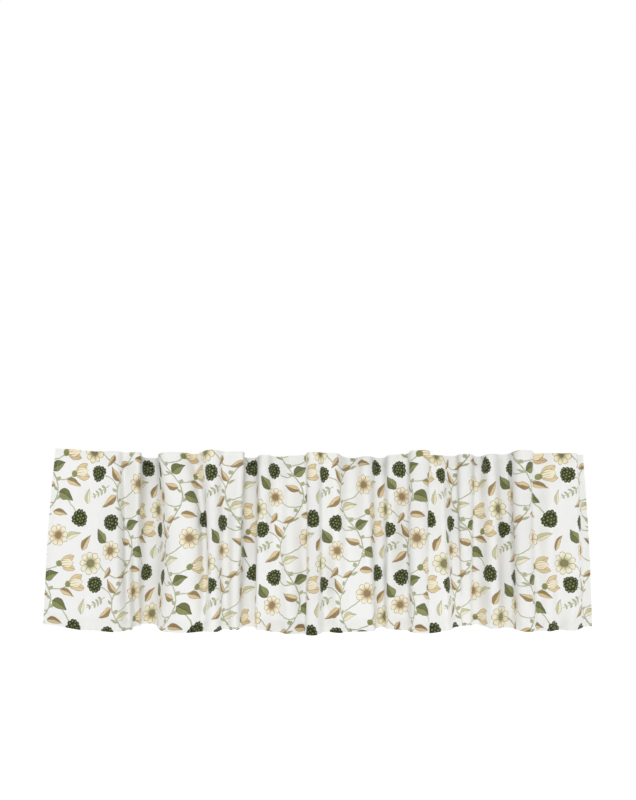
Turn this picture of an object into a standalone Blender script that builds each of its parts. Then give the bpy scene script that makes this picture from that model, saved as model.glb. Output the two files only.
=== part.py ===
"""A window valance: one wide, short panel of printed cotton that hangs in soft, uneven folds.

Metres, +Z up. The origin is the middle of the top edge, where the cloth is held, and the
printed face looks along -Y. The panel is a single piece with turned hems, so it is one
sheet: a flat grid that is bent along the curve its folds make at the top edge, at mid
height and at the hem, and is then given the cloth's thickness.
"""

from collections import namedtuple
from math import sqrt

import bmesh
import bpy
from mathutils import Vector

# Driving sizes
DROP = 0.500
CLOTH_THICKNESS = 0.0014
STEPS_PER_WALL = 6
BANDS = 7
MILLIMETRE = 0.001

# The cloth hangs a little higher at its left end
LEFT_LIFT = 0.010
LEFT_LIFT_WIDTH = 0.150

# Finish
CLOTH_COLOUR = (0.830, 0.822, 0.790, 1.0)
CLOTH_ROUGHNESS = 0.92

# One row for each ridge, groove or end of the cloth, from left to right. Each row gives its
# place across and its depth, in millimetres, at the top edge, at mid height and at the hem.
# Depth counts backwards, away from the printed face. The radius is that of the bend there:
# a broad ridge close to a deep groove makes the wall between them lean back under the fold.
Fold = namedtuple("Fold", "name top_x top_y mid_x mid_y hem_x hem_y radius")
FOLDS = (
    Fold("left_edge", -733, -45, -772, -10, -795, 10, 40),
    Fold("left_dent", -637, -45, -637, -38, -641, -38, 40),
    Fold("left_ridge", -566, -60, -564, -65, -562, -66, 20),
    Fold("left_crease", -543, -35, -549, 0, -532, -35, 5),
    Fold("left_step", -504, -45, -527, 10, -531, 40, 8),
    Fold("first_valley", -500, 72, -497, 65, -516, 86, 30),
    Fold("second_ridge", -404, -44, -368, -56, -377, -80, 80),
    Fold("second_crease", -354, -8, -323, -15, -322, -55, 8),
    Fold("third_ridge", -289, -85, -288, -75, -290, -66, 15),
    Fold("third_dent", -253, -50, -260, -25, -261, -15, 12),
    Fold("fourth_ridge", -217, -54, -230, -40, -239, -32, 15),
    Fold("fourth_valley", -200, 64, -199, 46, -200, 32, 30),
    Fold("low_ridge", -156, 5, -162, -6, -165, -28, 20),
    Fold("low_valley", -118, 42, -121, 15, -120, -60, 20),
    Fold("long_ridge", -78, 25, -79, -15, -75, -102, 15),
    Fold("left_groove", -45, 14, -39, 5, -43, -92, 10),
    Fold("narrow_ridge", -13, -48, -12, -72, -17, -120, 25),
    Fold("right_groove", 21, -30, 19, -20, 24, -60, 12),
    Fold("middle_ridge", 43, -26, 52, -35, 58, -80, 14),
    Fold("middle_valley", 101, 66, 94, -5, 93, -60, 25),
    Fold("middle_step", 142, 30, 138, -25, 148, -50, 15),
    Fold("fifth_valley", 185, 68, 181, 35, 184, 20, 20),
    Fold("fifth_step", 216, 5, 212, -5, 205, -15, 20),
    Fold("fifth_groove", 243, -10, 252, 15, 238, -30, 20),
    Fold("sixth_ridge", 278, -82, 276, -80, 286, -95, 45),
    Fold("sixth_crease", 329, 5, 314, -40, 309, -82, 8),
    Fold("sixth_step", 354, 15, 348, -48, 362, -42, 8),
    Fold("deep_groove", 393, 30, 403, 25, 418, 35, 20),
    Fold("deep_step", 420, -10, 422, -5, 437, 52, 40),
    Fold("seventh_valley", 469, 38, 463, 35, 471, 72, 14),
    Fold("seventh_step", 496, -15, 504, -10, 510, -8, 20),
    Fold("seventh_groove", 528, 0, 547, 15, 546, 12, 25),
    Fold("eighth_ridge", 564, -80, 568, -68, 587, -62, 40),
    Fold("eighth_dent", 621, -18, 620, -22, 622, -45, 12),
    Fold("right_ridge", 663, -28, 651, -42, 645, -50, 20),
    Fold("right_dent", 694, -22, 688, -28, 680, -28, 15),
    Fold("end_ridge", 722, -28, 722, -36, 707, -45, 15),
    Fold("right_edge", 766, 10, 788, 20, 808, 40, 30),
)


def between_heights(top, middle, hem, fall):
    """The smooth value at a share `fall` of the drop, through three measured heights."""
    top_weight = (1.0 - fall) * (1.0 - 2.0 * fall)
    middle_weight = 4.0 * fall * (1.0 - fall)
    hem_weight = fall * (2.0 * fall - 1.0)
    return top * top_weight + middle * middle_weight + hem * hem_weight


def fold_place(fold, fall):
    """Where a row of the table lies across and in depth, in metres, at this height."""
    across = between_heights(fold.top_x, fold.mid_x, fold.hem_x, fall)
    depth = between_heights(fold.top_y, fold.mid_y, fold.hem_y, fall)
    return across * MILLIMETRE, depth * MILLIMETRE


def wall_point(start, end, start_radius, end_radius, part):
    """A point on the wall between two rows, which leaves and meets both at their radii."""
    width = end[0] - start[0]
    rise = end[1] - start[1]
    leave_speed = sqrt(6.0 * abs(rise) * start_radius)
    meet_speed = sqrt(6.0 * abs(rise) * end_radius)
    blend = part * part * (3.0 - 2.0 * part)
    leave = part * (1.0 - part) * (1.0 - part)
    meet = part * part * (1.0 - part)
    across = start[0] + width * blend + leave_speed * leave - meet_speed * meet
    depth = start[1] + rise * blend
    return across, depth


def end_lift(across, left_end):
    """How far the cloth hangs higher towards its left end."""
    nearness = max(0.0, 1.0 - (across - left_end) / LEFT_LIFT_WIDTH)
    return LEFT_LIFT * nearness * nearness * (3.0 - 2.0 * nearness)


def cloth_point(column, band):
    """The place of one grid corner on the hanging cloth."""
    fall = band / BANDS
    wall = min(column // STEPS_PER_WALL, len(FOLDS) - 2)
    part = column / STEPS_PER_WALL - wall
    first = FOLDS[wall]
    second = FOLDS[wall + 1]
    start = fold_place(first, fall)
    end = fold_place(second, fall)
    start_radius = first.radius * MILLIMETRE
    end_radius = second.radius * MILLIMETRE
    across, depth = wall_point(start, end, start_radius, end_radius, part)
    left_end = fold_place(FOLDS[0], fall)[0]
    height = end_lift(across, left_end) - DROP * fall
    return Vector((across, depth, height))


def cloth_material():
    """Off-white printed cotton, here in its ground colour."""
    material = bpy.data.materials.new("printed_cotton")
    material.use_nodes = True
    shader = material.node_tree.nodes["Principled BSDF"]
    shader.inputs["Base Color"].default_value = CLOTH_COLOUR
    shader.inputs["Roughness"].default_value = CLOTH_ROUGHNESS
    shader.inputs["Metallic"].default_value = 0.0
    return material


def hanging_cloth(collection):
    """A grid laid along the folds, thickened to the cloth."""
    columns = STEPS_PER_WALL * (len(FOLDS) - 1)
    mesh = bpy.data.meshes.new("valance_cloth")
    sheet = bmesh.new()
    bmesh.ops.create_grid(sheet, x_segments=columns, y_segments=BANDS, size=1.0)
    for vertex in sheet.verts:
        column = round((vertex.co.x + 1.0) / 2.0 * columns)
        band = round((1.0 - vertex.co.y) / 2.0 * BANDS)
        vertex.co = cloth_point(column, band)
    bmesh.ops.recalc_face_normals(sheet, faces=sheet.faces)
    sheet.to_mesh(mesh)
    sheet.free()
    cloth = bpy.data.objects.new("valance_cloth", mesh)
    collection.objects.link(cloth)
    thickness = cloth.modifiers.new("cloth thickness", "SOLIDIFY")
    thickness.thickness = CLOTH_THICKNESS
    thickness.offset = 0.0
    thickness.use_even_offset = True
    mesh.materials.append(cloth_material())
    mesh.shade_smooth()
    return cloth


def main():
    for old in list(bpy.data.objects):
        bpy.data.objects.remove(old, do_unlink=True)
    collection = bpy.data.collections.new("window_valance")
    bpy.context.scene.collection.children.link(collection)
    hanging_cloth(collection)


main()
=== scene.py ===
"""Window valance: a wide, short panel of printed cotton, gathered and hanging in soft folds."""

from collections import namedtuple
from math import asin, atan2, cos, hypot, pi, radians, sin, tan

import bpy
import numpy as np
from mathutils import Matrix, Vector


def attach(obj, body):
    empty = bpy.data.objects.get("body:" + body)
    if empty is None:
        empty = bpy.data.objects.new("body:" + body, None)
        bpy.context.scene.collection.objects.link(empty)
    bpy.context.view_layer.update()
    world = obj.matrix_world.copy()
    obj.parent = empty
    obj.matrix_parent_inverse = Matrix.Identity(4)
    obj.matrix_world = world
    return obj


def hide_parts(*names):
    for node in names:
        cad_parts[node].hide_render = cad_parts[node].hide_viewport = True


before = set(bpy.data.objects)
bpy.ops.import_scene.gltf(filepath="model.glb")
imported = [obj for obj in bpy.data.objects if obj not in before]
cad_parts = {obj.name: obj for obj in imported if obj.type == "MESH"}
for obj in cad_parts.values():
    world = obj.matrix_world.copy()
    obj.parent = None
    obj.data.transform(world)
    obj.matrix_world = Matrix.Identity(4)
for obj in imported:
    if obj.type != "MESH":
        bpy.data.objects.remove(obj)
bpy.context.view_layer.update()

# Valance cloth, the shape.
# One rectangular panel of plain-weave cotton, 2.50 m wide and 0.50 m deep when flat, with its
# sides, top and bottom turned to the back and sewn. Gathered at the top edge, it hangs in
# folds that fall to the hem, so the sheet is a grid bent along the curve of those folds.
FLAT_WIDTH = 2.500
DROP = 0.500
MILLIMETRE = 0.001
LEFT_LIFT = 0.010
LEFT_LIFT_WIDTH = 0.150
CLOTH_THICKNESS = 0.0005
HEM_THICKNESS = 0.0014
EDGE_HEM = 0.030
SIDE_HEM = 0.014
HEM_STEP = 0.0015
HEM_ROWS = 4
MIDDLE_ROWS = 36
SIDE_COLUMNS = 2

# One row for each ridge, groove or end of the cloth, from left to right: its place across and
# its depth, in millimetres, at the top edge, at mid height and at the hem, and its bend radius.
Fold = namedtuple("Fold", "name top_x top_y mid_x mid_y hem_x hem_y radius")
FOLDS = (
    Fold("left_edge", -733, -45, -772, -10, -795, 10, 40),
    Fold("left_dent", -637, -45, -637, -38, -641, -38, 40),
    Fold("left_ridge", -566, -60, -564, -65, -562, -66, 20),
    Fold("left_crease", -543, -35, -549, 0, -532, -35, 5),
    Fold("left_step", -504, -45, -527, 10, -531, 40, 8),
    Fold("first_valley", -500, 72, -497, 65, -516, 86, 30),
    Fold("second_ridge", -404, -44, -368, -56, -377, -80, 80),
    Fold("second_crease", -354, -8, -323, -15, -322, -55, 8),
    Fold("third_ridge", -289, -85, -288, -75, -290, -66, 15),
    Fold("third_dent", -253, -50, -260, -25, -261, -15, 12),
    Fold("fourth_ridge", -217, -54, -230, -40, -239, -32, 15),
    Fold("fourth_valley", -200, 64, -199, 46, -200, 32, 30),
    Fold("low_ridge", -156, 5, -162, -6, -165, -28, 20),
    Fold("low_valley", -118, 42, -121, 15, -120, -60, 20),
    Fold("long_ridge", -78, 25, -79, -15, -75, -102, 15),
    Fold("left_groove", -45, 14, -39, 5, -43, -92, 10),
    Fold("narrow_ridge", -13, -48, -12, -72, -17, -120, 25),
    Fold("right_groove", 21, -30, 19, -20, 24, -60, 12),
    Fold("middle_ridge", 43, -26, 52, -35, 58, -80, 14),
    Fold("middle_valley", 101, 66, 94, -5, 93, -60, 25),
    Fold("middle_step", 142, 30, 138, -25, 148, -50, 15),
    Fold("fifth_valley", 185, 68, 181, 35, 184, 20, 20),
    Fold("fifth_step", 216, 5, 212, -5, 205, -15, 20),
    Fold("fifth_groove", 243, -10, 252, 15, 238, -30, 20),
    Fold("sixth_ridge", 278, -82, 276, -80, 286, -95, 45),
    Fold("sixth_crease", 329, 5, 314, -40, 309, -82, 8),
    Fold("sixth_step", 354, 15, 348, -48, 362, -42, 8),
    Fold("deep_groove", 393, 30, 403, 25, 418, 35, 20),
    Fold("deep_step", 420, -10, 422, -5, 437, 52, 40),
    Fold("seventh_valley", 469, 38, 463, 35, 471, 72, 14),
    Fold("seventh_step", 496, -15, 504, -10, 510, -8, 20),
    Fold("seventh_groove", 528, 0, 547, 15, 546, 12, 25),
    Fold("eighth_ridge", 564, -80, 568, -68, 587, -62, 40),
    Fold("eighth_dent", 621, -18, 620, -22, 622, -45, 12),
    Fold("right_ridge", 663, -28, 651, -42, 645, -50, 20),
    Fold("right_dent", 694, -22, 688, -28, 680, -28, 15),
    Fold("end_ridge", 722, -28, 722, -36, 707, -45, 15),
    Fold("right_edge", 766, 10, 788, 20, 808, 40, 30),
)
CURVE_STEPS = 40
COLUMN_WIDTH = 0.0032
LEAST_STEPS = 8
# The share of the folds' drift from side to side that the print takes part in
THREAD_DRIFT = 0.3

# Soft creases laid over the folds: flat place across at the top and at the hem, how far down
# the cloth each starts and ends, its half width, and how far it stands out or sinks in.
Crease = namedtuple("Crease", "top_u hem_u start end half_width height")
CREASES = (
    Crease(0.090, 0.100, 0.00, 0.30, 0.016, -0.0022),
    Crease(0.150, 0.135, 0.20, 0.50, 0.014, 0.0018),
    Crease(0.480, 0.540, 0.05, 0.36, 0.012, -0.0018),
    Crease(0.560, 0.590, 0.18, 0.50, 0.013, 0.0020),
    Crease(1.000, 0.985, 0.00, 0.26, 0.010, -0.0016),
    Crease(1.410, 1.360, 0.10, 0.45, 0.012, 0.0016),
    Crease(1.600, 1.560, 0.22, 0.50, 0.012, -0.0018),
    Crease(1.740, 1.700, 0.00, 0.30, 0.010, 0.0014),
    Crease(2.060, 2.010, 0.15, 0.46, 0.012, -0.0016),
    Crease(2.300, 2.260, 0.00, 0.34, 0.014, -0.0020),
    Crease(2.400, 2.370, 0.12, 0.50, 0.013, 0.0020),
)
CREASE_FADE = 0.7

# The cloth's slight waviness: fine upright waves, in radians a metre across and down, that
# wander from side to side and fade in and out with a broader wave
RIPPLE_HEIGHT = 0.0005
WANDER_DOWN = 5.0
Ripple = namedtuple("Ripple", "share across down start wander fade_across fade_down fade_start")
RIPPLES = (
    Ripple(1.0, 103.0, 0.0, 0.0, 2.0, 17.0, 9.0, 1.0),
    Ripple(0.6, 171.0, -6.0, 0.7, 0.0, 11.0, -13.0, 0.0),
)

# Puckers about 22 mm apart along the hems, unevenly spaced and some of them deeper
PUCKER_HEIGHT = 0.00025
PUCKER_REACH = 0.012
PUCKER_ACROSS = 290.0
PUCKER_WANDER = 3.0
WANDER_ACROSS = 21.0
DEEPER_SHARE = 0.4
DEEPER_ACROSS = 37.0


def between_heights(top, middle, hem, fall):
    """The smooth value at a share of the drop, through three measured heights."""
    return (
        top * (1.0 - fall) * (1.0 - 2.0 * fall)
        + middle * 4.0 * fall * (1.0 - fall)
        + hem * fall * (2.0 * fall - 1.0)
    )


def fold_curve(fall):
    """The cloth's curve seen from above at one height, as fine points across and in depth."""
    table = np.array([row[1:] for row in FOLDS]) * MILLIMETRE
    rows_x = between_heights(table[:, 0], table[:, 2], table[:, 4], fall)
    rows_y = between_heights(table[:, 1], table[:, 3], table[:, 5], fall)
    radius = table[:, 6]
    part = np.linspace(0.0, 1.0, CURVE_STEPS, endpoint=False)[None, :]
    blend = part * part * (3.0 - 2.0 * part)
    leave = part * (1.0 - part) ** 2
    meet = part * part * (1.0 - part)
    rise = np.diff(rows_y)[:, None]
    leave_speed = np.sqrt(6.0 * np.abs(rise) * radius[:-1, None])
    meet_speed = np.sqrt(6.0 * np.abs(rise) * radius[1:, None])
    curve_x = rows_x[:-1, None] + np.diff(rows_x)[:, None] * blend
    curve_x = curve_x + leave_speed * leave - meet_speed * meet
    curve_y = rows_y[:-1, None] + rise * blend
    return np.append(curve_x, rows_x[-1]), np.append(curve_y, rows_y[-1])


def flat_lengths(curve_x, curve_y):
    """How far along the flat cloth each point of the curve lies."""
    length = np.append(0.0, np.cumsum(np.hypot(np.diff(curve_x), np.diff(curve_y))))
    return length / length[-1] * FLAT_WIDTH


def spaced(*stretches):
    """Positions from 0 on, from stretches of (where it ends, how many steps)."""
    places = [0.0]
    for end, steps in stretches:
        places.extend(np.linspace(places[-1], end, steps + 1)[1:])
    return np.array(places)


# Rows of the sheet: closer together in the hems, with a step where the folded edge ends
down = spaced(
    (EDGE_HEM, HEM_ROWS), (EDGE_HEM + HEM_STEP, 1), (DROP - EDGE_HEM - HEM_STEP, MIDDLE_ROWS),
    (DROP - EDGE_HEM, 1), (DROP, HEM_ROWS),
)
curves = [fold_curve(v / DROP) for v in down]
lengths = [flat_lengths(*curve) for curve in curves]

# Columns of the sheet: each runs down the cloth along its folds, and closer at tight bends
joints = np.array([length[::CURVE_STEPS] for length in lengths])
longest = np.diff(joints, axis=1).max(axis=0)
wall_steps = np.maximum(LEAST_STEPS, np.rint(longest / COLUMN_WIDTH)).astype(int)
along = spaced(*[(wall + 1, steps) for wall, steps in enumerate(wall_steps)])
side = spaced((SIDE_HEM, SIDE_COLUMNS))
inner_left = SIDE_HEM + HEM_STEP
inner_right = FLAT_WIDTH - inner_left
flats = []
for length in lengths:
    flat = np.interp(along * CURVE_STEPS, np.arange(len(length)), length)
    first = flat[along <= 1.0][-1]
    last = flat[along >= len(wall_steps) - 1][0]
    left = inner_left + flat * (first - inner_left) / first
    right = inner_right - (FLAT_WIDTH - flat) * (inner_right - last) / (FLAT_WIDTH - last)
    flat = np.where(along < 1.0, left, np.where(along > len(wall_steps) - 1, right, flat))
    flats.append(np.concatenate([side, flat, FLAT_WIDTH - side[::-1]]))
flats = np.array(flats)
# The threads run straight down, so the flat places follow the folds' mean over the drop
threads = flats.mean(axis=0) + THREAD_DRIFT * (flats - flats.mean(axis=0))


def crease_height(u, v):
    """How far the soft creases and the cloth's slight waviness stand out at a flat place."""
    height = np.zeros(u.shape)
    for crease in CREASES:
        middle = crease.top_u + (crease.hem_u - crease.top_u) * v / DROP
        run = np.clip((v - crease.start) / (crease.end - crease.start), 0.0, 1.0)
        length = np.sin(pi * run) ** CREASE_FADE
        height = height + crease.height * length * np.exp(-(((u - middle) / crease.half_width) ** 2))
    for ripple in RIPPLES:
        wander = ripple.start + ripple.wander * np.sin(v * WANDER_DOWN)
        wave = np.sin(u * ripple.across + v * ripple.down + wander)
        fade = np.sin(u * ripple.fade_across + v * ripple.fade_down + ripple.fade_start)
        height = height + RIPPLE_HEIGHT * ripple.share * wave * fade
    return height


def hem_pucker(u, v):
    """The small drawn-in waves along the stitching of the top and bottom hems."""
    wave = np.sin(u * PUCKER_ACROSS + PUCKER_WANDER * np.sin(u * WANDER_ACROSS))
    wave = wave * (1.0 - DEEPER_SHARE + DEEPER_SHARE * np.sin(u * DEEPER_ACROSS))
    near_top = np.exp(-(((v - EDGE_HEM) / PUCKER_REACH) ** 2))
    near_hem = np.exp(-(((v - DROP + EDGE_HEM) / PUCKER_REACH) ** 2))
    return PUCKER_HEIGHT * wave * (near_top + near_hem)


def hanging_places():
    """Every grid point's place on the folds, with the creases and puckers laid over them."""
    places = np.zeros(flats.shape + (3,))
    for row, v in enumerate(down):
        curve_x, curve_y = curves[row]
        places[row, :, 0] = np.interp(flats[row], lengths[row], curve_x)
        places[row, :, 1] = np.interp(flats[row], lengths[row], curve_y)
        nearness = np.clip(1.0 - (places[row, :, 0] - curve_x[0]) / LEFT_LIFT_WIDTH, 0.0, 1.0)
        lift = LEFT_LIFT * nearness * nearness * (3.0 - 2.0 * nearness)
        places[row, :, 2] = lift - v
    run_x = np.gradient(places[:, :, 0], axis=1)
    run_y = np.gradient(places[:, :, 1], axis=1)
    size = np.hypot(run_x, run_y)
    height = crease_height(threads, down[:, None]) + hem_pucker(threads, down[:, None])
    places[:, :, 0] += height * run_y / size
    places[:, :, 1] -= height * run_x / size
    return places


columns = flats.shape[1] - 1
bands = len(down) - 1
bpy.ops.object.select_all(action="DESELECT")
bpy.ops.mesh.primitive_grid_add(x_subdivisions=columns, y_subdivisions=bands, size=2.0)
cloth = bpy.context.object
cloth.name = "printed_cloth"
mesh = cloth.data
mesh.name = "printed_cloth"
corners = np.empty(len(mesh.vertices) * 3)
mesh.vertices.foreach_get("co", corners)
corners = corners.reshape(-1, 3)
column_of = np.rint((corners[:, 0] + 1.0) / 2.0 * columns).astype(int)
row_of = np.rint((1.0 - corners[:, 1]) / 2.0 * bands).astype(int)
mesh.vertices.foreach_set("co", hanging_places()[row_of, column_of].ravel())
front_faces = len(mesh.polygons)
front_points = len(mesh.vertices)

# The flat map gives each point its place on the flat cloth, in metres
flat_place = np.stack([threads[row_of, column_of], DROP - down[row_of]], axis=1)
corner_point = np.empty(len(mesh.loops), dtype=np.int64)
mesh.loops.foreach_get("vertex_index", corner_point)
while mesh.uv_layers:
    mesh.uv_layers.remove(mesh.uv_layers[0])
flat_map = mesh.uv_layers.new(name="cloth_flat")
flat_map.data.foreach_set("uv", flat_place[corner_point].ravel())

# Folded edges are two or three layers of cloth, so the sheet is thicker there
in_hem = (
    (column_of < len(side)) | (column_of > columns - len(side))
    | (down[row_of] <= EDGE_HEM) | (down[row_of] >= DROP - EDGE_HEM)
)
hem_group = cloth.vertex_groups.new(name="hem")
hem_group.add([int(point) for point in np.flatnonzero(in_hem)], 1.0, "REPLACE")
thickness = cloth.modifiers.new("cloth thickness", "SOLIDIFY")
thickness.thickness = HEM_THICKNESS
thickness.vertex_group = "hem"
thickness.thickness_vertex_group = CLOTH_THICKNESS / HEM_THICKNESS
thickness.offset = -1.0
bpy.ops.object.modifier_apply(modifier=thickness.name)
bpy.ops.object.shade_smooth_by_angle(angle=radians(75.0))

# The bake map has the front as two strips, one above the other, and the back at half their
# scale in a third, all with a gap round them
BAKE_SIDE = 1.300
BAKE_GAP = 0.010
BACK_SCALE = 0.5
RIM_WIDTH = 0.003
ON_EDGE = 0.000001


def bake_place(u, v, half, is_back):
    """Where a flat place lies on the bake map."""
    front_u = BAKE_GAP + np.where(half, u - FLAT_WIDTH / 2.0, u)
    front_v = BAKE_GAP + np.where(half, DROP + BAKE_GAP, 0.0) + v
    back_u = BAKE_GAP + u * BACK_SCALE
    back_v = 3.0 * BAKE_GAP + 2.0 * DROP + v * BACK_SCALE
    bake_u = np.where(is_back, back_u, front_u)
    bake_v = np.where(is_back, back_v, front_v)
    return np.stack([bake_u, bake_v], axis=1) / BAKE_SIDE


flat_map = mesh.uv_layers["cloth_flat"]
flat_uv = np.empty(len(mesh.loops) * 2)
flat_map.data.foreach_get("uv", flat_uv)
flat_uv = flat_uv.reshape(-1, 2)
starts = np.empty(len(mesh.polygons), dtype=np.int64)
totals = np.empty(len(mesh.polygons), dtype=np.int64)
mesh.polygons.foreach_get("loop_start", starts)
mesh.polygons.foreach_get("loop_total", totals)
face_of = np.repeat(np.arange(len(mesh.polygons)), totals)
corner_point = np.empty(len(mesh.loops), dtype=np.int64)
mesh.loops.foreach_get("vertex_index", corner_point)
face_middle = np.add.reduceat(flat_uv[:, 0], starts) / totals
is_back = (face_of >= front_faces) & (face_of < 2 * front_faces)
is_rim = face_of >= 2 * front_faces
half = face_middle[face_of] > FLAT_WIDTH / 2.0
# The narrow faces round the edge lie just outside the front's strips
outward = np.zeros_like(flat_uv)
for side_of_map, far_edge in ((0, FLAT_WIDTH), (1, DROP)):
    near_end = flat_uv[:, side_of_map] < ON_EDGE
    far_end = flat_uv[:, side_of_map] > far_edge - ON_EDGE
    outward[:, side_of_map] = far_end.astype(float) - near_end
spread = (is_rim & (corner_point >= front_points))[:, None] * outward * RIM_WIDTH
baked = bake_place(flat_uv[:, 0] + spread[:, 0], flat_uv[:, 1] + spread[:, 1], half, is_back)
bake_map = mesh.uv_layers.new(name="OFBake")
bake_map.data.foreach_set("uv", baked.ravel())

# The print is inked on the face in flat colours before the cloth is cut: open blooms, buds,
# berry clusters and leaves on bowed stems. It repeats by half a drop, so each column of the
# design starts half a repeat lower than the one beside it.
REPEAT_WIDTH = 0.280
REPEAT_HEIGHT = 0.310
INK_SHARPNESS = 4000.0
INK_EDGE = 0.00025


def ink(code):
    """A colour as shaders take it, from six hex digits."""
    parts = [int(code[start:start + 2], 16) / 255.0 for start in (0, 2, 4)]
    linear = [part / 12.92 if part <= 0.04045 else ((part + 0.055) / 1.055) ** 2.4 for part in parts]
    return (*linear, 1.0)


COTTON = ink("e8e8e5")
BOTTLE = ink("464f2b")
DARK_BOTTLE = ink("272c15")
OLIVE = ink("8a8e5a")
DARK_OLIVE = ink("6d7244")
PALE_GREEN = ink("c1c19f")
SAGE = ink("acae92")
DARK_SAGE = ink("8f9175")
TAN = ink("93805b")
BISCUIT = ink("d3bf98")
BROWN = ink("8c7450")
CREAM = ink("eadfc3")


def calc(tree, operation, *values, clamp=False):
    """A Math node on numbers or sockets, and its result."""
    node = tree.nodes.new("ShaderNodeMath")
    node.operation = operation
    node.use_clamp = clamp
    for socket, value in zip(node.inputs, values):
        if isinstance(value, bpy.types.NodeSocket):
            tree.links.new(value, socket)
        else:
            socket.default_value = value
    return node.outputs["Value"]


def laid_over(tree, share, under, over):
    """One colour over another by a share, and the result."""
    node = tree.nodes.new("ShaderNodeMix")
    node.data_type = "RGBA"
    wanted = {"Factor_Float": share, "A_Color": under, "B_Color": over}
    for socket in node.inputs:
        value = wanted.get(socket.identifier)
        if isinstance(value, bpy.types.NodeSocket):
            tree.links.new(value, socket)
        elif value is not None:
            socket.default_value = value
    return next(socket for socket in node.outputs if socket.identifier == "Result_Color")


def reach_from_nought(tree, x, y):
    """How far a place lies from the origin."""
    squares = [calc(tree, "POWER", part, 2.0) for part in (x, y)]
    return calc(tree, "SQRT", calc(tree, "ADD", *squares))


def leaning(tree, x, y, angle):
    """A place as it is measured along and off a line that leans by an angle from X towards Y."""
    along_x = calc(tree, "MULTIPLY", x, cos(angle))
    along_y = calc(tree, "MULTIPLY", y, sin(angle))
    off_x = calc(tree, "MULTIPLY", x, sin(angle))
    off_y = calc(tree, "MULTIPLY", y, cos(angle))
    return calc(tree, "ADD", along_x, along_y), calc(tree, "SUBTRACT", off_y, off_x)


def inked(tree, distance):
    """Full ink where a distance in metres is above nought, with a short soft edge."""
    return calc(tree, "MULTIPLY_ADD", distance, INK_SHARPNESS, 0.5, clamp=True)


def new_effect(name, inputs, outputs):
    """A shader node group with named inputs and outputs, and its two end nodes."""
    kinds = {"place": "NodeSocketVector", "colour": "NodeSocketColor", "value": "NodeSocketFloat"}
    effect = bpy.data.node_groups.new(name, "ShaderNodeTree")
    for socket_name, kind in inputs:
        effect.interface.new_socket(name=socket_name, in_out="INPUT", socket_type=kinds[kind])
    for socket_name, kind in outputs:
        effect.interface.new_socket(name=socket_name, in_out="OUTPUT", socket_type=kinds[kind])
    return effect, effect.nodes.new("NodeGroupInput").outputs, effect.nodes.new("NodeGroupOutput").inputs


def use_effect(tree, effect, **values):
    """An effect placed in a material or in another effect, with its values set or linked."""
    node = tree.nodes.new("ShaderNodeGroup")
    node.node_tree = effect
    for name, value in values.items():
        socket = node.inputs[name.replace("_", " ")]
        if isinstance(value, bpy.types.NodeSocket):
            tree.links.new(value, socket)
        else:
            socket.default_value = value
    return node.outputs


def across_and_along(tree, place):
    """The two parts of a flat place."""
    node = tree.nodes.new("ShaderNodeSeparateXYZ")
    tree.links.new(place, node.inputs[0])
    return node.outputs["X"], node.outputs["Y"]


# Where a point of the cloth lies from the nearest copy of a motif, turned to the motif's axis
repeated, given, result = new_effect(
    "half drop repeat",
    [("Place", "place"), ("Motif X", "value"), ("Motif Y", "value"), ("Turn", "value")],
    [("Place", "place")],
)
place_x, place_y = across_and_along(repeated, given["Place"])
from_x = calc(repeated, "SUBTRACT", place_x, given["Motif X"])
from_y = calc(repeated, "SUBTRACT", place_y, given["Motif Y"])
near_x = calc(repeated, "WRAP", from_x, REPEAT_WIDTH / 2.0, -REPEAT_WIDTH / 2.0)
columns_off = calc(repeated, "SUBTRACT", from_x, near_x)
dropped_y = calc(repeated, "MULTIPLY_ADD", columns_off, -REPEAT_HEIGHT / 2.0 / REPEAT_WIDTH, from_y)
near_y = calc(repeated, "WRAP", dropped_y, REPEAT_HEIGHT / 2.0, -REPEAT_HEIGHT / 2.0)
joined = repeated.nodes.new("ShaderNodeCombineXYZ")
repeated.links.new(near_x, joined.inputs["X"])
repeated.links.new(near_y, joined.inputs["Y"])
turned = repeated.nodes.new("ShaderNodeVectorRotate")
turned.rotation_type = "Z_AXIS"
turned.invert = True
repeated.links.new(joined.outputs[0], turned.inputs["Vector"])
repeated.links.new(given["Turn"], turned.inputs["Angle"])
repeated.links.new(turned.outputs[0], result["Place"])

# A leaf from its stalk at the origin to its tip along X, with a light and a dark half
LEAF_SWELL = 0.78
LEAF_BASE = 0.6
LEAF_TAPER = 0.24
OUTLINE = 0.0010
RIB = 0.0006
VEIN = 0.00035
VEIN_STEP = 0.075
VEIN_SLANT = 0.9
VEIN_INK = 0.55
leaf_print, given, result = new_effect(
    "leaf print",
    [("Under", "colour"), ("Place", "place"), ("Length", "value"), ("Width", "value"),
     ("Bow", "value"), ("Light", "colour"), ("Dark", "colour"), ("Line", "colour")],
    [("Colour", "colour")],
)
tree = leaf_print
x, y = across_and_along(tree, given["Place"])
run = calc(tree, "DIVIDE", x, given["Length"], clamp=True)
swell = calc(tree, "SINE", calc(tree, "MULTIPLY", calc(tree, "POWER", run, LEAF_SWELL), pi))
taper = calc(tree, "MULTIPLY_ADD", run, -LEAF_TAPER, LEAF_BASE)
half_width = calc(tree, "MULTIPLY", calc(tree, "MULTIPLY", swell, taper), given["Width"])
arch = calc(tree, "MULTIPLY", calc(tree, "SINE", calc(tree, "MULTIPLY", run, pi)), given["Bow"])
bowed_y = calc(tree, "SUBTRACT", y, arch)
off_rib = calc(tree, "ABSOLUTE", bowed_y)
depth = calc(tree, "SUBTRACT", calc(tree, "SUBTRACT", half_width, off_rib), INK_EDGE)
shape = inked(tree, depth)
outline = inked(tree, calc(tree, "SUBTRACT", OUTLINE, depth))
rib = inked(tree, calc(tree, "SUBTRACT", RIB, off_rib))
vein_spacing = calc(tree, "MULTIPLY", given["Length"], VEIN_STEP)
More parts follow.
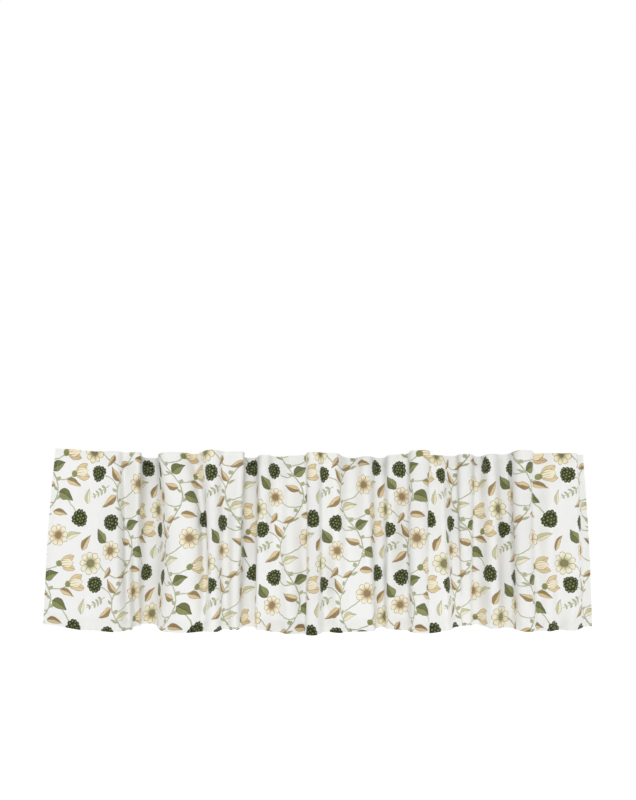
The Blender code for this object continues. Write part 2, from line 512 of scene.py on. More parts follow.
off_vein = calc(tree, "PINGPONG", calc(tree, "MULTIPLY_ADD", off_rib, -VEIN_SLANT, x), vein_spacing)
veins = calc(tree, "MULTIPLY", inked(tree, calc(tree, "SUBTRACT", VEIN, off_vein)), VEIN_INK)
lines = calc(tree, "MAXIMUM", calc(tree, "MAXIMUM", outline, rib), veins)
dark_half = inked(tree, bowed_y)
fill = laid_over(tree, dark_half, given["Light"], given["Dark"])
drawn = laid_over(tree, lines, fill, given["Line"])
tree.links.new(laid_over(tree, shape, given["Under"], drawn), result["Colour"])

# A round cluster of berries about the origin, in rings round a middle one, each berry with a
# dark edge and a light spot
BERRY_RINGS = 2.0
BERRIES_A_RING = 6.0
RING_STEP = 1.9
NARROWING = 0.05
DARK_RIM = 0.12
SPOT_PLACE = (0.18, 0.22)
SPOT_SIZE = 0.36
berry_print, given, result = new_effect(
    "berry print",
    [("Under", "colour"), ("Place", "place"), ("Berry", "value"),
     ("Fill", "colour"), ("Dark", "colour"), ("Light", "colour")],
    [("Colour", "colour")],
)
tree = berry_print
x, y = across_and_along(tree, given["Place"])
# The cluster is broad at its stalk and narrower at its far end
narrowing = calc(tree, "MULTIPLY_ADD", calc(tree, "DIVIDE", x, given["Berry"]), NARROWING, 1.0)
y = calc(tree, "MULTIPLY", y, narrowing)
out = reach_from_nought(tree, x, y)
ring_step = calc(tree, "MULTIPLY", given["Berry"], RING_STEP)
ring = calc(tree, "MINIMUM", calc(tree, "ROUND", calc(tree, "DIVIDE", out, ring_step)), BERRY_RINGS)
in_ring = calc(tree, "MAXIMUM", calc(tree, "MULTIPLY", ring, BERRIES_A_RING), 1.0)
berry_turn = calc(tree, "DIVIDE", 2.0 * pi, in_ring)
turn = calc(tree, "ROUND", calc(tree, "DIVIDE", calc(tree, "ARCTAN2", y, x), berry_turn))
turn = calc(tree, "MULTIPLY", turn, berry_turn)
from_middle = calc(tree, "MULTIPLY", ring, ring_step)
off_x = calc(tree, "SUBTRACT", x, calc(tree, "MULTIPLY", calc(tree, "COSINE", turn), from_middle))
off_y = calc(tree, "SUBTRACT", y, calc(tree, "MULTIPLY", calc(tree, "SINE", turn), from_middle))
reach = reach_from_nought(tree, off_x, off_y)
berry_depth = calc(tree, "SUBTRACT", given["Berry"], reach)
# Between the berries the cluster is dark as far out as the middles of its outer ring
berry_edge = calc(tree, "MULTIPLY_ADD", given["Berry"], DARK_RIM, berry_depth)
inside = calc(tree, "SUBTRACT", calc(tree, "MULTIPLY", ring_step, BERRY_RINGS), out)
cluster = inked(tree, calc(tree, "MAXIMUM", berry_edge, inside))
skin = inked(tree, calc(tree, "SUBTRACT", OUTLINE, berry_depth))
spot_x = calc(tree, "MULTIPLY_ADD", given["Berry"], -SPOT_PLACE[0], off_x)
spot_y = calc(tree, "MULTIPLY_ADD", given["Berry"], -SPOT_PLACE[1], off_y)
spot_reach = reach_from_nought(tree, spot_x, spot_y)
spot_size = calc(tree, "MULTIPLY", given["Berry"], SPOT_SIZE)
spot = inked(tree, calc(tree, "SUBTRACT", spot_size, spot_reach))
body = laid_over(tree, skin, given["Fill"], given["Dark"])
body = laid_over(tree, spot, body, given["Light"])
tree.links.new(laid_over(tree, cluster, given["Under"], body), result["Colour"])

# An open bloom about the origin: petals round a dotted heart, with fine lines along them.
# Shares are of its radius, from the middle out.
NOTCH_SHARE = 0.74
PETAL_SHARE = 0.24
PETAL_ROUND = 0.6
PETAL_OUTLINE = 0.0012
PETAL_SEAM = 0.0008
LINE_END = 0.72
LINE_WIDTH = 0.0022
LINE_INK = 0.75
GLOW_FADE = 2.4
GLOW_START = 1.55
HEART_SHARE = 0.27
HEART_RIM = 0.0009
DOTS_PER_METRE = 430.0
DOT_SIZE = 0.27
bloom_print, given, result = new_effect(
    "bloom print",
    [("Under", "colour"), ("Place", "place"), ("Radius", "value"), ("Petals", "value"),
     ("Fill", "colour"), ("Shade", "colour"), ("Line", "colour"), ("Heart", "colour")],
    [("Colour", "colour")],
)
tree = bloom_print
x, y = across_and_along(tree, given["Place"])
out = reach_from_nought(tree, x, y)
share = calc(tree, "DIVIDE", out, given["Radius"])
angle = calc(tree, "ARCTAN2", y, x)
half_turns = calc(tree, "MULTIPLY", calc(tree, "MULTIPLY", angle, given["Petals"]), 0.5)
petal = calc(tree, "ABSOLUTE", calc(tree, "COSINE", half_turns))
petal_round = calc(tree, "POWER", petal, PETAL_ROUND)
edge = calc(tree, "MULTIPLY_ADD", petal_round, PETAL_SHARE, NOTCH_SHARE)
depth = calc(tree, "MULTIPLY", calc(tree, "SUBTRACT", edge, share), given["Radius"])
shape = inked(tree, depth)
outline = inked(tree, calc(tree, "SUBTRACT", PETAL_OUTLINE, depth))
arm = calc(tree, "DIVIDE", calc(tree, "MULTIPLY", out, 2.0), given["Petals"])
seam = inked(tree, calc(tree, "MULTIPLY_ADD", calc(tree, "MULTIPLY", arm, petal), -1.0, PETAL_SEAM))
third = calc(tree, "ABSOLUTE", calc(tree, "COSINE", calc(tree, "MULTIPLY", half_turns, 3.0)))
line_room = calc(tree, "MULTIPLY", calc(tree, "SUBTRACT", LINE_END, share), LINE_WIDTH)
third_arm = calc(tree, "MULTIPLY", arm, calc(tree, "DIVIDE", third, 3.0))
petal_line = inked(tree, calc(tree, "SUBTRACT", line_room, third_arm))
petal_line = calc(tree, "MULTIPLY", petal_line, LINE_INK)
glow = calc(tree, "MULTIPLY_ADD", share, -GLOW_FADE, GLOW_START, clamp=True)
fill = laid_over(tree, glow, given["Fill"], given["Shade"])
lines = calc(tree, "MAXIMUM", calc(tree, "MAXIMUM", outline, seam), petal_line)
drawn = laid_over(tree, lines, fill, given["Line"])
heart_depth = calc(tree, "MULTIPLY", calc(tree, "SUBTRACT", HEART_SHARE, share), given["Radius"])
heart = inked(tree, heart_depth)
drawn = laid_over(tree, heart, drawn, given["Heart"])
dots = tree.nodes.new("ShaderNodeTexVoronoi")
dots.voronoi_dimensions = "2D"
dots.inputs["Scale"].default_value = DOTS_PER_METRE
dots.inputs["Randomness"].default_value = 0.4
tree.links.new(given["Place"], dots.inputs["Vector"])
dot = calc(tree, "LESS_THAN", dots.outputs["Distance"], DOT_SIZE)
rim = inked(tree, calc(tree, "SUBTRACT", HEART_RIM, heart_depth))
heart_lines = calc(tree, "MULTIPLY", calc(tree, "MAXIMUM", dot, rim), heart)
drawn = laid_over(tree, heart_lines, drawn, given["Line"])
tree.links.new(laid_over(tree, shape, given["Under"], drawn), result["Colour"])

# A closed bud from its stalk at the origin to its tip along X: two side petals, then a front
# one. Shares are of its length or its width.
SIDE_LEAN = radians(20.6)
SIDE_WIDTH = 0.27
FRONT_WIDTH = 0.30
FRONT_SHORTER = 1.12
FULLEST = 1.15
FULLNESS = 0.8
BUD_OUTLINE = 0.0011
SIDE_STRIPE_INK = 0.7
STRIPE_END = 0.75
STRIPE_WIDTH = 0.0014
STRIPE_STEP = 0.075
STRIPE_INK = 0.8
CUP_SHARE = 0.17
bud_print, given, result = new_effect(
    "bud print",
    [("Under", "colour"), ("Place", "place"), ("Length", "value"), ("Width", "value"),
     ("Fill", "colour"), ("Shade", "colour"), ("Line", "colour"), ("Cup", "colour")],
    [("Colour", "colour")],
)
tree = bud_print
x, y = across_and_along(tree, given["Place"])
side_y = calc(tree, "ABSOLUTE", y)
# A side petal leans outwards from the stalk, and the front one stands upright before it
lean_x, lean_y = leaning(tree, x, side_y, SIDE_LEAN)


def petal_depth(along, off, width_share):
    """How deep a point lies inside a rounded petal, in metres."""
    run = calc(tree, "DIVIDE", along, given["Length"], clamp=True)
    rounded = calc(tree, "SINE", calc(tree, "MULTIPLY", calc(tree, "POWER", run, FULLEST), pi))
    swell = calc(tree, "POWER", rounded, FULLNESS)
    width = calc(tree, "MULTIPLY", calc(tree, "MULTIPLY", given["Width"], width_share), swell)
    return calc(tree, "SUBTRACT", calc(tree, "SUBTRACT", width, calc(tree, "ABSOLUTE", off)), INK_EDGE)


side_depth = petal_depth(lean_x, lean_y, SIDE_WIDTH)
front_depth = petal_depth(calc(tree, "MULTIPLY", x, FRONT_SHORTER), y, FRONT_WIDTH)
side_shape = inked(tree, side_depth)
front_shape = inked(tree, front_depth)
side_line = inked(tree, calc(tree, "SUBTRACT", BUD_OUTLINE, side_depth))
side_stripe = inked(tree, calc(tree, "SUBTRACT", RIB, calc(tree, "ABSOLUTE", lean_y)))
front_line = inked(tree, calc(tree, "SUBTRACT", BUD_OUTLINE, front_depth))
before_tip = calc(tree, "SUBTRACT", STRIPE_END, calc(tree, "DIVIDE", x, given["Length"]))
stripe_room = calc(tree, "MULTIPLY", before_tip, STRIPE_WIDTH)
off_stripe = calc(tree, "PINGPONG", y, calc(tree, "MULTIPLY", given["Width"], STRIPE_STEP))
front_stripe = inked(tree, calc(tree, "SUBTRACT", stripe_room, off_stripe))
front_stripe = calc(tree, "MULTIPLY", front_stripe, STRIPE_INK)
side_lines = calc(tree, "MAXIMUM", side_line, calc(tree, "MULTIPLY", side_stripe, SIDE_STRIPE_INK))
side_drawn = laid_over(tree, side_lines, given["Shade"], given["Line"])
front_lines = calc(tree, "MAXIMUM", front_line, front_stripe)
front_drawn = laid_over(tree, front_lines, given["Fill"], given["Line"])
drawn = laid_over(tree, side_shape, given["Under"], side_drawn)
drawn = laid_over(tree, front_shape, drawn, front_drawn)
cup_out = reach_from_nought(tree, x, y)
cup_size = calc(tree, "MULTIPLY", given["Length"], CUP_SHARE)
cup = inked(tree, calc(tree, "SUBTRACT", cup_size, cup_out))
tree.links.new(laid_over(tree, cup, drawn, given["Cup"]), result["Colour"])

LEAF_SLANT = radians(50.0)
SMALL_LEAF_WIDTH = 0.25
SMALL_RIB = 0.0004
LAST_LEAF = 0.5


def small_leaves(tree, along, off, spacing, size, share, both_sides):
    """Small leaves that slant off a stalk, one or a pair at each step, and their mid rib."""
    side_off = calc(tree, "ABSOLUTE", off)
    # The leaf that a point belongs to is found by going back along its slant to the stalk
    foot = calc(tree, "MULTIPLY_ADD", side_off, -1.0 / tan(LEAF_SLANT), along)
    step = calc(tree, "ROUND", calc(tree, "DIVIDE", foot, spacing))
    step_place = calc(tree, "MULTIPLY", step, spacing)
    leaf_x = calc(tree, "SUBTRACT", along, step_place)
    slant_x, slant_y = leaning(tree, leaf_x, side_off, LEAF_SLANT)
    shrink = calc(tree, "MULTIPLY_ADD", calc(tree, "MULTIPLY", step_place, share), LAST_LEAF - 1.0, 1.0)
    length = calc(tree, "MULTIPLY", shrink, size)
    run = calc(tree, "DIVIDE", slant_x, length, clamp=True)
    rounded = calc(tree, "SINE", calc(tree, "MULTIPLY", run, pi))
    width = calc(tree, "MULTIPLY", rounded, calc(tree, "MULTIPLY", length, SMALL_LEAF_WIDTH))
    depth = calc(tree, "SUBTRACT", width, calc(tree, "ABSOLUTE", slant_y))
    leaf = inked(tree, calc(tree, "SUBTRACT", depth, INK_EDGE))
    if not both_sides:
        odd = calc(tree, "FLOORED_MODULO", step, 2.0)
        right_side = calc(tree, "COMPARE", calc(tree, "GREATER_THAN", off, 0.0), odd, 0.5)
        leaf = calc(tree, "MULTIPLY", leaf, right_side)
    rib = inked(tree, calc(tree, "SUBTRACT", SMALL_RIB, calc(tree, "ABSOLUTE", slant_y)))
    return leaf, rib, step_place


# A straight stalk along X with small leaves in pairs, shorter towards its tip
STALK_BASE = 0.0014
STALK_TAPER = 0.0006
LEAFY_MIDDLE = 0.55
LEAFY_HALF = 0.46
sprig_print, given, result = new_effect(
    "sprig print",
    [("Under", "colour"), ("Place", "place"), ("Length", "value"), ("Spacing", "value"),
     ("Leaf", "value"), ("Fill", "colour"), ("Line", "colour")],
    [("Colour", "colour")],
)
tree = sprig_print
x, y = across_and_along(tree, given["Place"])
per_length = calc(tree, "DIVIDE", 1.0, given["Length"])
run = calc(tree, "MULTIPLY", x, per_length)
stalk_width = calc(tree, "MULTIPLY_ADD", run, -STALK_TAPER, STALK_BASE)
stalk_depth = calc(tree, "SUBTRACT", stalk_width, calc(tree, "ABSOLUTE", y))
stalk = calc(tree, "MULTIPLY", inked(tree, stalk_depth), calc(tree, "COMPARE", run, 0.5, 0.5))
leaf, rib, step_place = small_leaves(tree, x, y, given["Spacing"], given["Leaf"], per_length, True)
step_run = calc(tree, "MULTIPLY", step_place, per_length)
leaf = calc(tree, "MULTIPLY", leaf, calc(tree, "COMPARE", step_run, LEAFY_MIDDLE, LEAFY_HALF))
drawn = laid_over(tree, rib, given["Fill"], given["Line"])
drawn = laid_over(tree, leaf, given["Under"], drawn)
tree.links.new(laid_over(tree, stalk, drawn, given["Fill"]), result["Colour"])

# The vine: a stem that waves from side to side up the whole cloth, one wave to a repeat, with
# small leaves by turns on its left and right
vine_print, given, result = new_effect(
    "vine print",
    [("Under", "colour"), ("Place", "place"), ("Reach", "value"), ("Width", "value"),
     ("Leaf", "value"), ("Fill", "colour"), ("Line", "colour")],
    [("Colour", "colour")],
)
tree = vine_print
x, y = across_and_along(tree, given["Place"])
WAVE_PER_METRE = 2.0 * pi / REPEAT_HEIGHT
LEAVES_A_REPEAT = 12.0
turns = calc(tree, "MULTIPLY", x, WAVE_PER_METRE)
off = calc(tree, "SUBTRACT", y, calc(tree, "MULTIPLY", calc(tree, "SINE", turns), given["Reach"]))
swing = calc(tree, "MULTIPLY", calc(tree, "COSINE", turns), given["Reach"])
slope = calc(tree, "MULTIPLY", swing, WAVE_PER_METRE)
upright = calc(tree, "INVERSE_SQRT", calc(tree, "MULTIPLY_ADD", slope, slope, 1.0))
off = calc(tree, "MULTIPLY", off, upright)
half_stem = calc(tree, "MULTIPLY", given["Width"], 0.5)
stem = inked(tree, calc(tree, "SUBTRACT", half_stem, calc(tree, "ABSOLUTE", off)))
leaf_step = REPEAT_HEIGHT / LEAVES_A_REPEAT
leaf, rib, step_place = small_leaves(tree, x, off, leaf_step, given["Leaf"], 0.0, False)
drawn = laid_over(tree, rib, given["Fill"], given["Line"])
drawn = laid_over(tree, leaf, given["Under"], drawn)
tree.links.new(laid_over(tree, stem, drawn, given["Fill"]), result["Colour"])

# A bowed stem: an arc with its middle at the origin, that bows towards X
stem_print, given, result = new_effect(
    "stem print",
    [("Under", "colour"), ("Place", "place"), ("Radius", "value"), ("Half angle", "value"),
     ("Width", "value"), ("Fill", "colour")],
    [("Colour", "colour")],
)
tree = stem_print
x, y = across_and_along(tree, given["Place"])
x = calc(tree, "ADD", x, given["Radius"])
out = reach_from_nought(tree, x, y)
off_stem = calc(tree, "ABSOLUTE", calc(tree, "SUBTRACT", out, given["Radius"]))
half_turn = calc(tree, "ABSOLUTE", calc(tree, "ARCTAN2", y, x))
past_end = calc(tree, "SUBTRACT", half_turn, given["Half angle"])
past_end = calc(tree, "MAXIMUM", calc(tree, "MULTIPLY", past_end, given["Radius"]), 0.0)
off_stem = reach_from_nought(tree, off_stem, past_end)
half_stem = calc(tree, "MULTIPLY", given["Width"], 0.5)
stem = inked(tree, calc(tree, "SUBTRACT", half_stem, off_stem))
tree.links.new(laid_over(tree, stem, given["Under"], given["Fill"]), result["Colour"])

# The design, in millimetres from the middle of a repeat, up and to the right, and in degrees
# turned to the left from pointing right. A stem goes from one end to the other with a bulge to
# the left of its way. What comes later lies over what comes before.
Stem = namedtuple("Stem", "x y end_x end_y bulge width")
STEMS = (
    Stem(-60, -98, 28, -52, -12, 3.2),
    Stem(18, 62, 86, 14, 14, 3.2),
    Stem(12, 112, 76, 126, -10, 3.0),
    Stem(12, 44, -60, 66, 12, 3.2),
    Stem(-61, -66, -110, -32, -12, 3.0),
    Stem(-4, 134, -62, 146, 10, 3.0),
    Stem(-38, -138, 44, -128, -14, 3.0),
    Stem(-22, -4, -112, 34, 12, 3.2),
)
Motif = namedtuple("Motif", "kind x y turn size look")
MOTIFS = (
    Motif("vine", -20, 0, 90, 42, "sage"),
    Motif("leaf", -92, 94, 128, 50, "olive"),
    Motif("leaf", 60, -54, 22, 50, "pale"),
    Motif("leaf", -72, 26, 236, 40, "tan"),
    Motif("sprig", -86, -58, 208, 66, "sage"),
    Motif("bloom", 34, -48, 10, 62, "cream"),
    Motif("berries", 100, 4, -40, 56, "bottle"),
    Motif("bud", 74, 126, 15, 54, "cream"),
    Motif("leaf", 26, 74, -25, 54, "olive"),
    Motif("bloom", -74, 72, 0, 56, "cream"),
    Motif("bloom", -140, 36, 20, 66, "green"),
    Motif("berries", -124, -22, 140, 52, "bottle"),
    Motif("leaf", -52, -46, 125, 50, "tan"),
    Motif("leaf", -64, -86, 215, 56, "tan"),
    Motif("berries", -78, 150, 170, 52, "bottle"),
    Motif("bud", 42, -128, 8, 54, "cream"),
    Motif("leaf", 112, -84, 60, 52, "tan"),
    Motif("leaf", 120, 46, 80, 46, "pale"),
    Motif("leaf", -10, 12, 200, 44, "tan"),
    Motif("leaf", 12, 18, -8, 50, "tan"),
    Motif("leaf", 12, 92, 162, 52, "tan"),
    Motif("leaf", -48, -118, 14, 56, "pale"),
    Motif("leaf", -2, 136, 24, 48, "olive"),
    Motif("leaf", 50, 108, -18, 50, "tan"),
)


# The motifs' proportions: shares of a motif's size, counts, and the small parts in metres
BROAD_LEAF = 0.62
SLIM_LEAF = 0.40
LEAF_BOW = 0.06
BERRIES_ACROSS = 11.0
BLOOM_PETALS = 9.0
BUD_WIDTH = 0.86
VINE_WIDTH = 0.0036
SMALL_LEAF = 0.019
SPRIG_STEP = 0.0135


def leaf_values(size, look):
    """A leaf's size and inks."""
    inks = {
        "olive": (OLIVE, DARK_OLIVE, DARK_BOTTLE),
        "tan": (BISCUIT, TAN, BROWN),
        "pale": (CREAM, PALE_GREEN, DARK_SAGE),
    }
    light, dark, line = inks[look]
    width = size * (BROAD_LEAF if look == "olive" else SLIM_LEAF)
    return dict(Length=size, Width=width, Bow=size * LEAF_BOW, Light=light, Dark=dark, Line=line)


def motif_effect(motif):
    """The effect that prints a motif, and the values that it takes."""
    size = motif.size * MILLIMETRE
    if motif.kind == "leaf":
        return leaf_print, leaf_values(size, motif.look)
    if motif.kind == "berries":
        inks = dict(Fill=BOTTLE, Dark=DARK_BOTTLE, Light=OLIVE)
        return berry_print, dict(Berry=size / BERRIES_ACROSS, **inks)
    if motif.kind == "bloom":
        shade = PALE_GREEN if motif.look == "green" else BISCUIT
        line = DARK_OLIVE if motif.look == "green" else BROWN
        inks = dict(Fill=CREAM, Shade=shade, Line=line, Heart=TAN)
        return bloom_print, dict(Radius=size / 2.0, Petals=BLOOM_PETALS, **inks)
    if motif.kind == "bud":
        inks = dict(Fill=CREAM, Shade=BISCUIT, Line=BROWN, Cup=OLIVE)
        return bud_print, dict(Length=size, Width=size * BUD_WIDTH, **inks)
    inks = dict(Leaf=SMALL_LEAF, Fill=SAGE, Line=DARK_SAGE)
    if motif.kind == "vine":
        return vine_print, dict(Reach=-size, Width=VINE_WIDTH, **inks)
    return sprig_print, dict(Length=size, Spacing=SPRIG_STEP, **inks)


design, given, result = new_effect(
    "leaf and berry print", [("Place", "place"), ("Ground", "colour")], [("Colour", "colour")]
)
# The outlines waver a little, as drawn by hand
HAND_WAVER = 0.0045
WAVERS_PER_METRE = 55.0
wobble = design.nodes.new("ShaderNodeTexNoise")
wobble.noise_dimensions = "2D"
wobble.inputs["Scale"].default_value = WAVERS_PER_METRE
wobble.inputs["Detail"].default_value = 1.0
design.links.new(given["Place"], wobble.inputs["Vector"])
by_hand = design.nodes.new("ShaderNodeVectorMath")
by_hand.operation = "MULTIPLY_ADD"
by_hand.inputs[1].default_value = (HAND_WAVER, HAND_WAVER, 0.0)
design.links.new(wobble.outputs["Color"], by_hand.inputs[0])
design.links.new(given["Place"], by_hand.inputs[2])
colour = given["Ground"]
for stem in STEMS:
    chord_x = stem.end_x - stem.x
    chord_y = stem.end_y - stem.y
    chord = hypot(chord_x, chord_y)
    bulge = abs(stem.bulge)
    radius = (chord * chord / 4.0 + bulge * bulge) / (2.0 * bulge)
    side = 1.0 if stem.bulge > 0 else -1.0
    out_x = -chord_y / chord * side
    out_y = chord_x / chord * side
    middle_x = (stem.x + stem.end_x) / 2.0 + out_x * bulge
    middle_y = (stem.y + stem.end_y) / 2.0 + out_y * bulge
    near = use_effect(
        design, repeated, Place=by_hand.outputs[0], Motif_X=middle_x * MILLIMETRE,
        Motif_Y=middle_y * MILLIMETRE, Turn=atan2(out_y, out_x),
    )["Place"]
    colour = use_effect(
        design, stem_print, Under=colour, Place=near, Radius=radius * MILLIMETRE,
        Half_angle=asin(chord / 2.0 / radius), Width=stem.width * MILLIMETRE, Fill=SAGE,
    )["Colour"]
for motif in MOTIFS:
    near = use_effect(
        design, repeated, Place=by_hand.outputs[0], Motif_X=motif.x * MILLIMETRE,
        Motif_Y=motif.y * MILLIMETRE, Turn=radians(motif.turn),
    )["Place"]
    effect, values = motif_effect(motif)
    colour = use_effect(design, effect, Under=colour, Place=near, **values)["Colour"]
design.links.new(colour, result["Colour"])

# Plain weave: each thread goes over one and under the next, and some threads are thicker
THREAD_PITCH = 0.00045
THREAD_HEIGHT = 0.00006
SLUB_HEIGHT = 0.00009
SLUB_TONE = 0.05
SLUBS_ACROSS = 1500.0
SLUBS_ALONG = (45.0, 40.0)
weave, given, result = new_effect(
    "plain weave", [("Place", "place")], [("Height", "value"), ("Tone", "value")]
)
x, y = across_and_along(weave, given["Place"])
waves_x = calc(weave, "SINE", calc(weave, "MULTIPLY", x, pi / THREAD_PITCH))
waves_y = calc(weave, "SINE", calc(weave, "MULTIPLY", y, pi / THREAD_PITCH))
warp_over = calc(weave, "GREATER_THAN", calc(weave, "MULTIPLY", waves_x, waves_y), 0.0)
warp = calc(weave, "MULTIPLY", calc(weave, "ABSOLUTE", waves_x), warp_over)
weft = calc(weave, "MULTIPLY", calc(weave, "ABSOLUTE", waves_y), calc(weave, "SUBTRACT", 1.0, warp_over))
slubs = []
for stretch in ((SLUBS_ACROSS, SLUBS_ALONG[0], 0.0), (SLUBS_ALONG[1], SLUBS_ACROSS, 0.0)):
    drawn_out = weave.nodes.new("ShaderNodeVectorMath")
    drawn_out.operation = "MULTIPLY"
    drawn_out.inputs[1].default_value = stretch
    weave.links.new(given["Place"], drawn_out.inputs[0])
    uneven = weave.nodes.new("ShaderNodeTexNoise")
    uneven.noise_dimensions = "2D"
    uneven.inputs["Scale"].default_value = 1.0
    uneven.inputs["Detail"].default_value = 2.0
    weave.links.new(drawn_out.outputs[0], uneven.inputs["Vector"])
    slubs.append(uneven.outputs["Fac"])
uneven_threads = calc(weave, "ADD", *slubs)
thread_height = calc(weave, "MULTIPLY", calc(weave, "ADD", warp, weft), THREAD_HEIGHT)
height = calc(weave, "MULTIPLY_ADD", uneven_threads, SLUB_HEIGHT, thread_height)
weave.links.new(height, result["Height"])
tone = calc(weave, "MULTIPLY_ADD", uneven_threads, -SLUB_TONE, 1.0 + SLUB_TONE)
weave.links.new(tone, result["Tone"])

# Lock stitches close to the inner edge of each hem, sunk into the cloth
STITCH_INSET = 0.002
STITCH_LENGTH = 0.0028
STITCH_WIDTH = 0.0004
STITCH_GAP = 0.08
SEAM_DEPTH = 0.0005
STITCH_HEIGHT = 0.0002
stitches, given, result = new_effect(
    "hem stitches", [("Place", "place")], [("Thread", "value"), ("Height", "value")]
)
x, y = across_and_along(stitches, given["Place"])
from_side = calc(stitches, "PINGPONG", x, FLAT_WIDTH / 2.0)
from_edge = calc(stitches, "PINGPONG", y, DROP / 2.0)
rows = []
for from_end, hem, run in ((from_side, SIDE_HEM, y), (from_edge, EDGE_HEM, x)):
    off_line = calc(stitches, "ABSOLUTE", calc(stitches, "SUBTRACT", from_end, hem - STITCH_INSET))
    from_hole = calc(stitches, "PINGPONG", run, STITCH_LENGTH / 2.0)
    gap = calc(stitches, "GREATER_THAN", from_hole, STITCH_LENGTH * STITCH_GAP)
    seam = calc(stitches, "MULTIPLY_ADD", off_line, -1.0 / (4.0 * STITCH_WIDTH), 1.0, clamp=True)
    thread = calc(stitches, "MULTIPLY", calc(stitches, "LESS_THAN", off_line, STITCH_WIDTH / 2.0), gap)
    rows.append((thread, seam))
thread = calc(stitches, "MAXIMUM", rows[0][0], rows[1][0])
seam = calc(stitches, "MAXIMUM", rows[0][1], rows[1][1])
sunk = calc(stitches, "MULTIPLY", seam, -SEAM_DEPTH)
sunk = calc(stitches, "MULTIPLY_ADD", thread, STITCH_HEIGHT, sunk)
stitches.links.new(thread, result["Thread"])
stitches.links.new(sunk, result["Height"])

# Light that falls on one side of the thin cloth comes softly out of the other
LIGHT_SPREAD = 0.0019
SEWING_THREAD = ink("f2f0ea")
SHOW_THROUGH = 0.30
THREAD_SHARE = 0.7
# Where the threads are darker the cloth is rougher: a factor on their tone, and what is added
ROUGHNESS = (-0.8, 1.66)
RELIEF = 0.5
SHINE = 0.25
SHEEN = 0.08
SHEEN_ROUGHNESS = 0.5


def cotton_material(name, face_colour):
    """Matte cotton whose colour, sheen of thread and stitching follow the flat cloth."""
    material = bpy.data.materials.new(name)
    material.use_nodes = True
    tree = material.node_tree
    shader = tree.nodes["Principled BSDF"]
    flat = tree.nodes.new("ShaderNodeUVMap")
    flat.uv_map = "cloth_flat"
    place = flat.outputs["UV"]
    woven = use_effect(tree, weave, Place=place)
    sewn = use_effect(tree, stitches, Place=place)
    colour = face_colour(tree, place)
    tone = tree.nodes.new("ShaderNodeVectorMath")
    tone.operation = "SCALE"
    tree.links.new(colour, tone.inputs[0])
    tree.links.new(woven["Tone"], tone.inputs["Scale"])
    thread = calc(tree, "MULTIPLY", sewn["Thread"], THREAD_SHARE)
    tree.links.new(laid_over(tree, thread, tone.outputs[0], SEWING_THREAD), shader.inputs["Base Color"])
    roughness = calc(tree, "MULTIPLY_ADD", woven["Tone"], *ROUGHNESS)
    tree.links.new(roughness, shader.inputs["Roughness"])
    relief = tree.nodes.new("ShaderNodeBump")
    relief.inputs["Strength"].default_value = RELIEF
    relief.inputs["Distance"].default_value = 1.0
    tree.links.new(calc(tree, "ADD", woven["Height"], sewn["Height"]), relief.inputs["Height"])
    tree.links.new(relief.outputs["Normal"], shader.inputs["Normal"])
    shader.inputs["Subsurface Weight"].default_value = 1.0
    shader.inputs["Subsurface Radius"].default_value = (1.0, 1.0, 1.0)
    shader.inputs["Subsurface Scale"].default_value = LIGHT_SPREAD
    shader.inputs["Specular IOR Level"].default_value = SHINE
    shader.inputs["Sheen Weight"].default_value = SHEEN
    shader.inputs["Sheen Roughness"].default_value = SHEEN_ROUGHNESS
    return material


def front_colour(tree, place):
    """The print on its off-white ground."""
    return use_effect(tree, design, Place=place, Ground=COTTON)["Colour"]


def back_colour(tree, place):
    """The cloth's back, where the print shows through faintly, and its turned hems, which
    show the printed side folded over."""
    x, y = across_and_along(tree, place)
    from_side = calc(tree, "PINGPONG", x, FLAT_WIDTH / 2.0)
    from_edge = calc(tree, "PINGPONG", y, DROP / 2.0)
    in_side = calc(tree, "LESS_THAN", from_side, SIDE_HEM)
    in_edge = calc(tree, "LESS_THAN", from_edge, EDGE_HEM)
    # A point of the turned hem comes from as far beyond the fold as it lies inside it
    high = calc(tree, "GREATER_THAN", y, DROP / 2.0)
    far = calc(tree, "GREATER_THAN", x, FLAT_WIDTH / 2.0)
    folded_y = calc(tree, "SUBTRACT", calc(tree, "MULTIPLY", high, 2.0 * DROP), y)
    folded_x = calc(tree, "SUBTRACT", calc(tree, "MULTIPLY", far, 2.0 * FLAT_WIDTH), x)
    from_x = calc(tree, "MULTIPLY_ADD", in_side, calc(tree, "SUBTRACT", folded_x, x), x)
    from_y = calc(tree, "MULTIPLY_ADD", in_edge, calc(tree, "SUBTRACT", folded_y, y), y)
    joined = tree.nodes.new("ShaderNodeCombineXYZ")
    tree.links.new(from_x, joined.inputs["X"])
    tree.links.new(from_y, joined.inputs["Y"])
    printed = use_effect(tree, design, Place=joined.outputs[0], Ground=COTTON)["Colour"]
    in_hem = calc(tree, "MAXIMUM", in_side, in_edge)
    share = calc(tree, "MULTIPLY_ADD", in_hem, 1.0 - SHOW_THROUGH, SHOW_THROUGH)
    return laid_over(tree, share, COTTON, printed)


mesh.materials.append(cotton_material("printed_cotton_face", front_colour))
mesh.materials.append(cotton_material("printed_cotton_back", back_colour))
# The second layer of faces, which the thickness made, is the cloth's back
face_number = np.arange(len(mesh.polygons))
on_back = (face_number >= front_faces) & (face_number < 2 * front_faces)
mesh.polygons.foreach_set("material_index", on_back.astype(np.int32))

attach(cloth, "root")
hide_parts("valance_cloth")

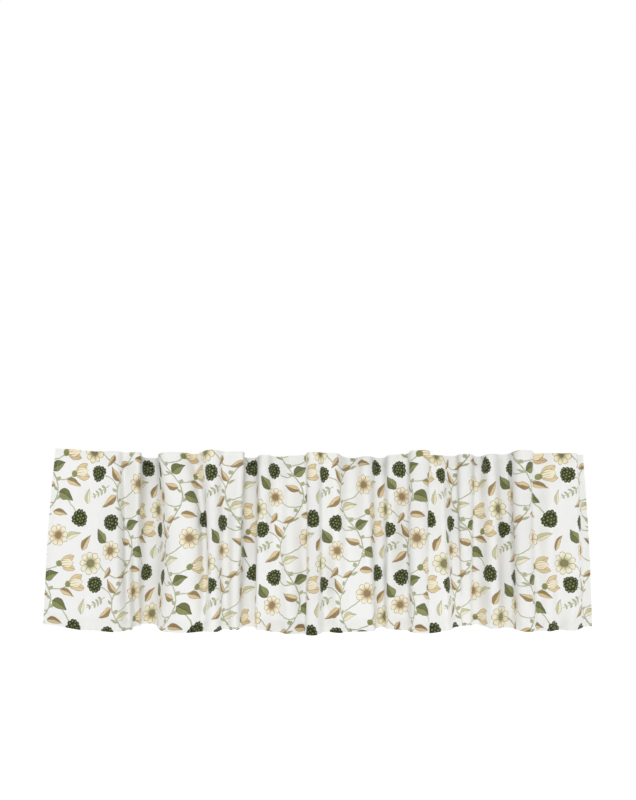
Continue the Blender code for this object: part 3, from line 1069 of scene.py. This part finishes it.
# Studio.
# A wide pale floor far below the valance, white all round, and one soft light far in front of
# it, as for a catalogue picture. The cloth is lit nearly evenly, so its folds stay faint.
FLOOR_HEIGHT = -2.200
FLOOR_RADIUS = 40.0
FLOOR_TONE = 0.95
FLOOR_GLOW = 0.6
bpy.ops.object.select_all(action="DESELECT")
bpy.ops.mesh.primitive_circle_add(
    vertices=96, radius=FLOOR_RADIUS, fill_type="NGON", location=(0.0, 0.0, FLOOR_HEIGHT)
)
floor = bpy.context.object
floor.name = "studio_floor"
floor_paint = bpy.data.materials.new("studio_floor")
floor_paint.use_nodes = True
paint = floor_paint.node_tree.nodes["Principled BSDF"]
paint.inputs["Base Color"].default_value = (FLOOR_TONE, FLOOR_TONE, FLOOR_TONE, 1.0)
paint.inputs["Roughness"].default_value = 1.0
paint.inputs["Specular IOR Level"].default_value = 0.0
paint.inputs["Emission Color"].default_value = (1.0, 1.0, 1.0, 1.0)
paint.inputs["Emission Strength"].default_value = FLOOR_GLOW
floor.data.materials.append(floor_paint)

# White all round for the eye, and a weaker white for the light that it gives
ROOM_LIGHT = 0.52
world = bpy.data.worlds.new("white studio")
world.use_nodes = True
bpy.context.scene.world = world
tree = world.node_tree
room = tree.nodes["Background"]
room.inputs["Color"].default_value = (1.0, 1.0, 1.0, 1.0)
path = tree.nodes.new("ShaderNodeLightPath")
amount = tree.nodes.new("ShaderNodeMapRange")
amount.inputs["To Min"].default_value = ROOM_LIGHT
amount.inputs["To Max"].default_value = 1.0
tree.links.new(path.outputs["Is Camera Ray"], amount.inputs["Value"])
tree.links.new(amount.outputs["Result"], room.inputs["Strength"])

# The light's beam is kept narrow, so that it weakens a little towards the ends of the cloth
LIGHT_PLACE = Vector((0.0, -4.5, 0.1))
LIGHT_AIM = Vector((0.0, 0.0, -DROP / 2.0))
LIGHT_SIDE = 0.8
LIGHT_POWER = 6.0
LIGHT_BEAM = radians(60.0)
bpy.ops.object.light_add(type="AREA", location=LIGHT_PLACE)
lamp = bpy.context.object
lamp.name = "front_light"
lamp.data.shape = "SQUARE"
lamp.data.size = LIGHT_SIDE
lamp.data.energy = LIGHT_POWER
lamp.data.spread = LIGHT_BEAM
lamp.rotation_euler = (LIGHT_AIM - LIGHT_PLACE).to_track_quat("-Z", "Y").to_euler()
lamp.visible_camera = False

# The camera is level with the middle of the drop and squarely in front, and its frame is
# shifted so that the valance hangs in the lower part of the picture
CAMERA_DISTANCE = 1.600
LENS = 25.05
FRAME_SHIFT = 0.1769
bpy.ops.object.camera_add(location=(0.0, -CAMERA_DISTANCE, -DROP / 2.0), rotation=(pi / 2.0, 0.0, 0.0))
camera = bpy.context.object
camera.name = "studio_camera"
camera.data.lens = LENS
camera.data.sensor_width = 36.0
camera.data.sensor_fit = "AUTO"
camera.data.shift_y = FRAME_SHIFT
bpy.context.scene.camera = camera
bpy.context.scene.view_settings.view_transform = "Standard"
